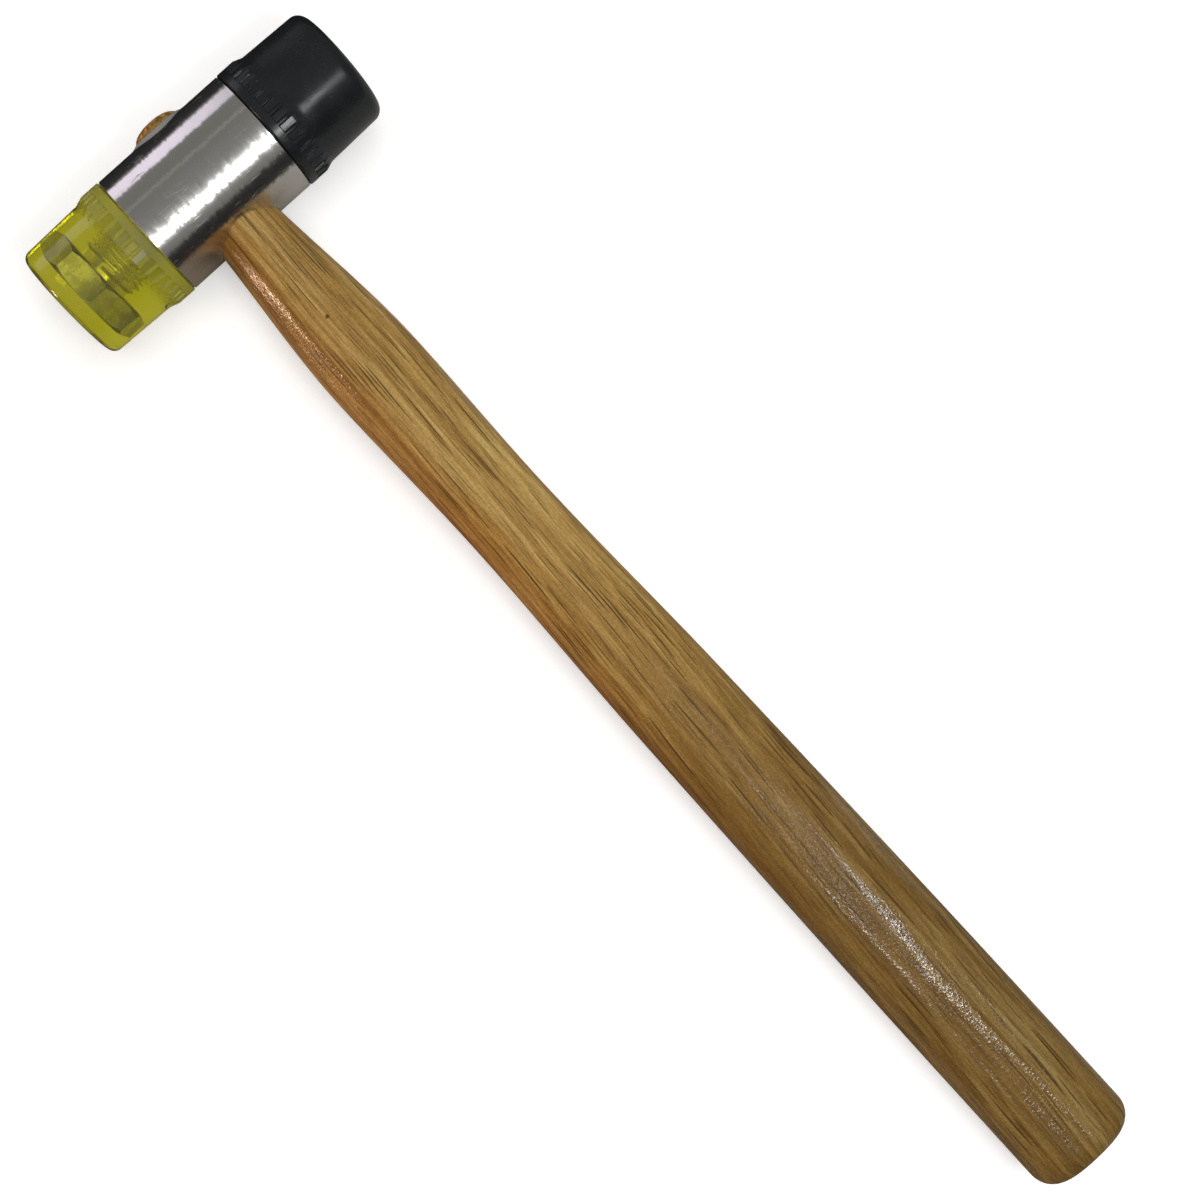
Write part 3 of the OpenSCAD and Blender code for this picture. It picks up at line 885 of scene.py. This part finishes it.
@dataclass
class StrikingFace:
    """A screw-on face with a ribbed ring at its back."""

    end: End
    body: Body
    node: str
    edge_r: float
    root: float = 17.4
    tip: float = 40.5
    ring_r: float = 15.15
    ring_l: float = 4.7
    ring_run: float = 2.2
    band_l: float = 2.1
    ring_edge_r: float = 0.4
    rib_n: int = 36
    rib_h: float = 0.45
    face_r: float = 14.4
    taper: float = 0.4
    rib_start: float = 0.12
    rib_row: float = 0.8
    rib_rows: int = 3
    side_gap: float = 1.0
    side_rows: int = 9
    edge_rows: int = 11
    back_rows: tuple[float, ...] = (0.0, 3.0, 6.0, 9.0, 12.0)
    front_rows: tuple[float, ...] = (10.0, 7.0, 4.0, 0.0)
    columns: int = 10
    rib_columns: float = 1.5
    sharp: float = 30.0
    edge_w: float = 0.07
    edge_angle: float = 32.0

    def profile(self) -> Profile:
        """Draws the face from the centre of its back to the centre of its striking surface.

        Returns:
            The profile.
        """
        e, g = self.ring_edge_r, self.edge_r
        ring_end, floor_end = self.root + self.ring_l, self.floor_end()
        side = ring_end + self.ring_run
        band_end = self.root + self.band_l
        tip_r = self.face_r - self.taper
        return [(self.root, r) for r in self.back_rows] + [
            *arc(self.root + e, self.ring_r - e, e, 180.0, 90.0),
            (band_end, self.ring_r), (band_end + self.rib_start, self.ring_r),
            *[(x, self.ring_r) for x in steps_between(band_end + self.rib_row, ring_end, self.rib_rows)],
            ((ring_end + floor_end) / 2, self.ring_r - self.rib_h / 2),
            (floor_end, self.ring_r - self.rib_h),
            *[(x, self.face_r - self.taper * (x - side) / (self.tip - g - side))
              for x in steps_between(side, self.tip - g - self.side_gap, self.side_rows)],
            *arc(self.tip - g, tip_r - g, g, 90.0, 0.0, self.edge_rows),
            *[(self.tip, r) for r in self.front_rows]]

    def floor_end(self) -> float:
        """Returns where the floor between the ribs runs out into the slope of the ring."""
        return self.root + self.ring_l + self.ring_run * self.rib_h / (self.ring_r - self.face_r)

    def cut_gaps(self, bm: Mesh) -> None:
        """Lowers the ring between its ribs.

        Args:
            bm: the turned face.
        """
        start, stop = self.root + self.band_l + self.rib_start / 2, self.floor_end() - NEAR
        floor = self.ring_r - self.rib_h
        for vert in bm.verts:
            x, off = vert.co.x / MM, math.hypot(vert.co.y, vert.co.z) / MM
            if not start < x < stop or off <= floor:
                continue
            turn = math.atan2(vert.co.z, vert.co.y) / math.tau * self.rib_n
            if abs(turn - round(turn)) * self.columns > self.rib_columns:
                to_radius(vert, floor)

    def build(self) -> Piece:
        """Spins the face, cuts the gaps between its ribs and turns it to its end of the head.

        Returns:
            The piece.
        """
        bm = turned(self.profile(), self.rib_n * self.columns)
        self.cut_gaps(bm)
        turn_to(bm, self.end)
        piece = to_piece(bm, f"{self.node}_moulding", LIE.matrix())
        smooth(piece, self.sharp)
        bevel = piece.modifiers.new("soft edges", "BEVEL")
        bevel.width, bevel.segments = self.edge_w * MM, 2
        bevel.limit_method, bevel.angle_limit = "ANGLE", math.radians(self.edge_angle)
        return piece


@dataclass
class FaceBolt:
    """The hex bolt that is moulded into a face: its thread is the face's stud."""

    end: End
    body: Body
    node: str
    tip: float = 9.8
    under: float = 30.1
    head: float = 6.4
    flats: float = 16.0
    crest_r: float = 5.0
    root_r: float = 4.1
    pitch: float = 1.5
    edge: float = 0.5
    crown: float = 7.6
    slant: float = math.tan(math.radians(30.0))
    flanks: Span = (0.42, 0.58)
    run_out: float = 1.2
    overlap: float = 0.03
    core_past: float = 0.3
    steps: int = 36
    head_steps: int = 96
    core_steps: int = 64
    sharp: float = 26.0

    def hex_head(self) -> Mesh:
        """Spins the head and draws its side out to six flats with a chamfer on both sides.

        Returns:
            The head's mesh.
        """
        crown, flat, sixth = self.crown, self.flats / 2, math.tau / 6
        under, top = self.under, self.under + self.head
        bm = turned([(under, 0.0), (under, crown), (under + self.edge, flat), (top - self.edge, flat),
                     (top, crown), (top, 0.0)], self.head_steps)
        for vert in bm.verts:
            if math.hypot(vert.co.y, vert.co.z) < (crown + flat) / 2 * MM:
                continue
            turn = math.atan2(vert.co.z, vert.co.y) - math.pi / 2
            reach = flat / math.cos(turn - sixth * round(turn / sixth))
            to_radius(vert, reach)
            drop = (reach - crown) * self.slant
            vert.co.x = MM * (top - drop if vert.co.x > (under + top) / 2 * MM else under + drop)
        return bm

    def thread(self) -> Mesh:
        """Spins one pitch of the thread along a helix and lets it run out at both ends.

        Returns:
            The thread's mesh, which stands on the shank's core.
        """
        p, turns = self.pitch, int((self.under - self.tip) / self.pitch) - 1
        foot, end = self.root_r - self.overlap, self.tip + (turns + 1) * p
        crest = [(self.tip + share * p, self.crest_r) for share in self.flanks]
        bm = turned([(self.tip, foot), *crest, (self.tip + p, foot)], self.steps, turns=turns, pitch=p)
        for vert in bm.verts:
            x, off = vert.co.x / MM, math.hypot(vert.co.y, vert.co.z) / MM
            run = max(0.0, min(x - self.tip, end - x) / (self.run_out * p))
            to_radius(vert, foot + (off - foot) * min(1.0, run))
        return bm

    def build(self) -> Piece:
        """Puts the head, the core and the thread together and turns them to their end of the head.

        Returns:
            The piece.
        """
        tip, r, back = self.tip, self.root_r, self.under + self.core_past
        core = turned([(tip, 0.0), (tip, r - self.edge), (tip + self.edge, r), (back, r), (back, 0.0)],
                      self.core_steps)
        whole = bpy.data.meshes.new(self.node)
        bm = bmesh.new()
        for part in (self.hex_head(), core, self.thread()):
            part.to_mesh(whole)
            part.free()
            bm.from_mesh(whole)
        bpy.data.meshes.remove(whole)
        turn_to(bm, self.end)
        piece = to_piece(bm, f"{self.node}_threaded", LIE.matrix())
        smooth(piece, self.sharp)
        return piece


@dataclass
class Handle:
    """The oak handle, which tapers up through the eye to a domed end with a kerf for its wedge."""

    stations: tuple[tuple[float, ...], ...] = (
        (-17.5, 11.633, 11.233, 2.0), (-15.0, 12.0, 11.6, 2.0), (15.0, 16.4, 16.0, 2.0),
        (56.0, 22.4, 18.4, 2.2), (96.0, 21.1, 17.4, 2.3), (154.0, 24.0, 19.4, 2.5),
        (244.0, 26.1, 21.0, 2.5), (292.0, 26.4, 21.3, 2.5))
    tip_r: float = 1.2
    tip_crown: float = 0.9
    butt_r: float = 4.8
    butt_crown: float = 0.8
    wedge_w: float = 7.6
    wedge_l: float = 13.0
    wedge_head: float = 2.0
    wedge_tip: float = 0.6
    wedge_sunk: float = 0.9
    kerf_fit: float = 0.02
    kerf_past: float = 4.0
    crown_rows: tuple[float, ...] = (0.08, 0.3, 0.55, 0.8)
    edge_rows: int = 9
    sides: int = 96
    row: float = 1.6
    sharp: float = 40.0

    def grade(self, i: int, k: int) -> float:
        """Returns how fast value k changes from station i to the next."""
        a, b = self.stations[i], self.stations[i + 1]
        return (b[k] - a[k]) / (b[0] - a[0])

    def slope(self, i: int, k: int) -> float:
        """Returns the slope of value k at station i, level where it turns back."""
        a, b = (self.grade(min(max(n, 0), len(self.stations) - 2), k) for n in (i - 1, i))
        return 0.0 if a * b <= 0.0 else 2.0 * a * b / (a + b)

    def size(self, s: float, k: int) -> float:
        """Gives the handle's width, thickness or squareness.

        Args:
            s: distance from the head's axis towards the butt.
            k: 1 for width, 2 for thickness, 3 for squareness.

        Returns:
            The value on a smooth curve through the stations.
        """
        i = max([n for n, p in enumerate(self.stations[:-1]) if p[0] <= s], default=0)
        a, b = self.stations[i], self.stations[i + 1]
        h = b[0] - a[0]
        u = (s - a[0]) / h
        return (a[k] * (1 + 2 * u) * (1 - u) ** 2 + h * self.slope(i, k) * u * (1 - u) ** 2
                + b[k] * u * u * (3 - 2 * u) - h * self.slope(i + 1, k) * u * u * (1 - u))

    def ring(self, s: float, grow: float = 0.0, share: float = 1.0) -> Ring:
        """Gives the ring at s towards the butt, grown outwards and then brought to a share of its size."""
        return Ring(s, (self.size(s, 1) / 2 + grow) * share, (self.size(s, 2) / 2 + grow) * share,
                    self.size(s, 3))

    def end_rings(self, end: float, inwards: int, edge: float, crown: float) -> list[Ring]:
        """Gives the rings of a crowned end with a rounded edge.

        Args:
            end: where the end is.
            inwards: 1 or -1, the way from the end into the handle.
            edge: radius of the edge.
            crown: height of the crown.

        Returns:
            The rings from the end inwards.
        """
        rings = [self.ring(end + inwards * crown * f * f, -edge, f) for f in self.crown_rows]
        for a in steps_between(0.0, math.pi / 2, self.edge_rows):
            s = end + inwards * (crown + edge * (1 - math.cos(a)))
            rings.append(self.ring(s, -edge * (1 - math.sin(a))))
        return rings

    def build(self) -> Piece:
        """Lofts the handle and saws the kerf for its wedge.

        Returns:
            The piece.
        """
        first, last = self.stations[0][0], self.stations[-1][0]
        tip = self.end_rings(first, 1, self.tip_r, self.tip_crown)
        butt = self.end_rings(last, -1, self.butt_r, self.butt_crown)
        start, stop = tip[-1].s + self.row, butt[-1].s - self.row
        body = [self.ring(s) for s in steps_between(start, stop, round((stop - start) / self.row))]
        piece = to_piece(lofted(tip + body + butt[::-1], self.sides), "oak_handle", LIE.matrix())
        carve(piece, self.kerf())
        smooth(piece, self.sharp)
        return piece

    def kerf(self) -> Piece:
        """Makes the form of the kerf: a box that narrows towards the wedge's tip.

        Returns:
            The cutter.
        """
        head, fit = -self.stations[0][0] - self.wedge_sunk, self.kerf_fit
        grade = (self.wedge_head - self.wedge_tip) / 2 / self.wedge_l
        wide = self.wedge_head / 2 + fit + self.kerf_past * grade
        bm = bmesh.new()
        bmesh.ops.create_cube(bm, size=1.0)
        for vert in bm.verts:
            high = vert.co.y > 0
            vert.co.x = math.copysign(self.wedge_w / 2 + fit, vert.co.x) * MM
            vert.co.z = math.copysign(wide if high else self.wedge_tip / 2 + fit, vert.co.z) * MM
            vert.co.y = (head + self.kerf_past if high else head - self.wedge_l - fit) * MM
        return to_piece(bm, "kerf_cutter", LIE.matrix())


@dataclass
class Studio:
    """A pale floor under a grey sky, soft lamps, dark cards, one of them a painted shadow, and the camera.
    """

    eye: Point = (-8.95, 13.68, 401.98)
    look: Point = (0.02897, -0.00741, -0.99955)
    up: Point = (0.67451, 0.73814, 0.01408)
    lens: float = 52.5
    sensor: float = 36.0
    clip: Span = (0.01, 100.0)
    floor_side: float = 6000.0
    floor_gap: float = 0.1
    floor_grey: Colour = (0.84, 0.84, 0.84, 1.0)
    floor_glow: Colour = (1.0, 1.0, 1.0, 1.0)
    # Painted shade with a painted reflection of the handle's wood: reflections see the floor dark brown on
    # the left.
    mirrored_left_painted_shade: Colour = (0.22, 0.185, 0.135, 1.0)
    mirrored_right: Colour = (0.42, 0.415, 0.40, 1.0)
    mirrored_turn: Span = (-20.0, 40.0)
    glow_seen: float = 0.42
    glow_through: float = 0.7
    matt: float = 0.9
    card: Colour = (0.012, 0.013, 0.015, 1.0)
    sky: Colour = (0.185, 0.180, 0.165, 1.0)
    seam: Colour = (0.29, 0.285, 0.265, 1.0)
    zenith: Colour = (0.215, 0.21, 0.20, 1.0)
    dim: Colour = (0.3, 0.3, 0.28, 1.0)
    dim_side: Span = (-0.35, -0.75)
    window: Colour = (1.02, 0.93, 1.06, 1.0)
    window_top: Span = (0.45, 0.40)
    window_left: Span = (-0.42, -0.26)
    window_right: Span = (0.08, 0.06)
    window_ahead: Span = (0.5, 0.7)

    def camera(self) -> None:
        """Sets the camera where the photograph was taken from."""
        data = bpy.data.cameras.new("camera")
        data.lens, data.sensor_width, data.sensor_fit = self.lens, self.sensor, "HORIZONTAL"
        data.clip_start, data.clip_end = self.clip
        camera = bpy.data.objects.new("camera", data)
        ahead = Vector(self.look).normalized()
        right = ahead.cross(Vector(self.up)).normalized()
        above = right.cross(ahead)
        camera.matrix_world = Matrix.Translation(MM * Vector(self.eye)) @ Matrix(
            (right, above, -ahead)).transposed().to_4x4()
        bpy.context.scene.collection.objects.link(camera)
        bpy.context.scene.camera = camera

    def lamp(self, name: str, at: Point, to: Point, size: Span, watts: float, gloss: bool = True,
             colour: Point = (1.0, 1.0, 1.0)) -> None:
        """Hangs a soft lamp.

        Args:
            name: name of the lamp.
            at: where it hangs, in millimetres.
            to: what it points at, in millimetres.
            size: its width and height, in millimetres.
            watts: its power.
            gloss: whether glossy surfaces mirror it.
            colour: its colour.
        """
        data = bpy.data.lights.new(name, "AREA")
        data.shape, data.size, data.size_y = "RECTANGLE", size[0] * MM, size[1] * MM
        data.energy, data.color = watts, colour
        lamp = bpy.data.objects.new(name, data)
        lamp.visible_glossy = gloss
        turn = (Vector(to) - Vector(at)).to_track_quat("-Z", "Y")
        lamp.matrix_world = Matrix.Translation(MM * Vector(at)) @ turn.to_matrix().to_4x4()
        bpy.context.scene.collection.objects.link(lamp)

    def floor(self) -> None:
        """Lays the pale floor, which shows as white and keeps the object's shadow."""
        bm = bmesh.new()
        bmesh.ops.create_grid(bm, x_segments=1, y_segments=1, size=self.floor_side / 2 * MM)
        floor = to_piece(bm, "floor", Matrix.Translation((0, 0, -self.floor_gap * MM)))
        w = Surface("pale floor")
        rays = w.node("ShaderNodeLightPath").outputs
        # Reflections see the floor dark brown on the left, a painted shade and painted wood reflection,
        # and grey on the right.
        right = w.between(w.part(w.mm, 0), *self.mirrored_turn)
        mirrored = w.blend(right, self.mirrored_left_painted_shade, self.mirrored_right)
        glow = w.math("MAXIMUM", w.product(rays["Is Camera Ray"], self.glow_seen),
                      w.product(rays["Is Transmission Ray"], self.glow_through))
        w.set(Base_Color=w.blend(rays["Is Glossy Ray"], self.floor_grey, mirrored),
              Roughness=self.matt, Emission_Color=self.floor_glow, Emission_Strength=glow)
        floor.data.materials.append(w.material)

    def flag(self, name: str, at: Point, size: Span, tip: float) -> None:
        """Sets up a dark card along X that only shows in reflections.

        Args:
            name: name of the card.
            at: middle of its nearer edge, in millimetres.
            size: its width and height, in millimetres.
            tip: how far it is tipped up about X, in degrees; at 0 it lies towards +Y.
        """
        bm = bmesh.new()
        bmesh.ops.create_grid(bm, x_segments=1, y_segments=1, size=0.5)
        bmesh.ops.scale(bm, vec=(size[0] * MM, size[1] * MM, 1.0), verts=bm.verts)
        bmesh.ops.translate(bm, vec=(0.0, size[1] / 2 * MM, 0.0), verts=bm.verts)
        place = Matrix.Translation(MM * Vector(at)) @ Matrix.Rotation(math.radians(tip), 4, "X")
        card = to_piece(bm, name, place)
        w = Surface("dark card")
        w.set(Base_Color=self.card, Roughness=self.matt)
        card.data.materials.append(w.material)
        card.visible_camera = card.visible_diffuse = card.visible_shadow = False
        card.visible_transmission = False

    def world(self) -> None:
        """Sets a grey sky with a faint seam, and a pale window low on the side beyond the head."""
        world = bpy.data.worlds.new("soft grey")
        world.use_nodes = True
        w = Wiring(world.node_tree)
        way = w.node("ShaderNodeTexCoord").outputs["Generated"]
        x, y, z = (w.part(way, axis) for axis in range(3))
        sky = w.ramp(z, (0.0, self.sky), (0.79, self.sky), (0.835, self.seam), (0.875, self.sky),
                     (1.0, self.zenith))
        sky = w.shade(w.between(x, *self.dim_side), sky, self.dim)
        pane = w.product(w.between(z, *self.window_top), w.between(y, *self.window_ahead),
                         w.between(x, *self.window_left), w.between(x, *self.window_right))
        sky = w.blend(pane, sky, self.window)
        w.node("ShaderNodeOutputWorld", {"Surface": w.node("ShaderNodeBackground", {0: sky}).outputs[0]})
        bpy.context.scene.world = world

    def build(self) -> None:
        """Sets up the whole studio."""
        bpy.context.scene.view_settings.view_transform = "Standard"
        self.camera()
        self.world()
        self.floor()
        self.flag("butt_side_flag", (0.0, -330.0, 0.0), (900.0, 260.0), 90.0)
        # Painted shadow: this card lies on the floor beside the head and shows, in reflections only, as
        # the head's shadow on the floor.
        self.flag("head_shadow_card", (0.0, 153.0, 0.6), (900.0, 260.0), 0.0)
        self.lamp("key", (40.0, -194.0, 530.0), (30.0, 20.0, 20.0), (150.0, 78.0), 0.75)
        self.lamp("left", (-700.0, 340.0, 110.0), (-8.0, 100.0, 20.0), (110.0, 200.0), 1.6,
                  colour=(1.0, 0.68, 0.52))
        self.lamp("fill", (220.0, 40.0, 1370.0), (0.0, 0.0, 0.0), (1500.0, 1500.0), 13.0, False)


def dress(piece: Piece, material: Material) -> None:
    """Gives a piece or a CAD node its finish in all its slots.

    Args:
        piece: the piece or node.
        material: the finish.
    """
    if not piece.material_slots:
        piece.data.materials.append(material)
    for held in piece.material_slots:
        held.material = material


def main() -> None:
    """Builds the studio and the hammer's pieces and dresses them."""
    logging.basicConfig(level=logging.INFO, format="%(name)s: %(message)s")
    Studio().build()
    effects = Effects()
    chrome = ChromePlate().build(effects)
    plated = TurnedSteel("plated bolt", steel=(0.42, 0.42, 0.41, 1.0), stained=(0.24, 0.23, 0.21, 1.0),
                         rough=0.22, shank_r=5.0).build(effects)
    plug_steel = TurnedSteel("tapped steel", bore_r=5.05).build(effects)
    wedge_steel = TurnedSteel("wedge steel", rough=0.4).build(effects)

    handle = Handle()
    shaft = handle.build()
    dress(shaft, LacqueredOak().build(effects))
    join_frame(shaft, Body.HEAD, "handle", "handle")

    tube = HeadTube().build(handle)
    dress(tube, chrome)
    join_frame(tube, Body.HEAD, "head_tube", "head_tube")

    faces = (
        (StrikingFace(End.CLEAR, Body.CLEAR_END, "clear_face", edge_r=2.0), ClearPlastic()),
        (StrikingFace(End.RUBBER, Body.RUBBER_END, "rubber_face", edge_r=2.8), BlackRubber()))
    for face, finish in faces:
        moulding = face.build()
        dress(moulding, finish.build(effects))
        join_frame(moulding, face.body, face.node, face.node)
        bolt = FaceBolt(face.end, face.body, f"{face.node}_bolt")
        stud = bolt.build()
        dress(stud, plated)
        join_frame(stud, face.body, "steel", bolt.node)

    for name, material in (("clear_face_plug", plug_steel), ("rubber_face_plug", plug_steel),
                           ("handle_wedge", wedge_steel)):
        dress(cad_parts[name], material)
        LOG.info("%s keeps its solid and gets %s", name, material.name)


if __name__ == "__main__":
    main()
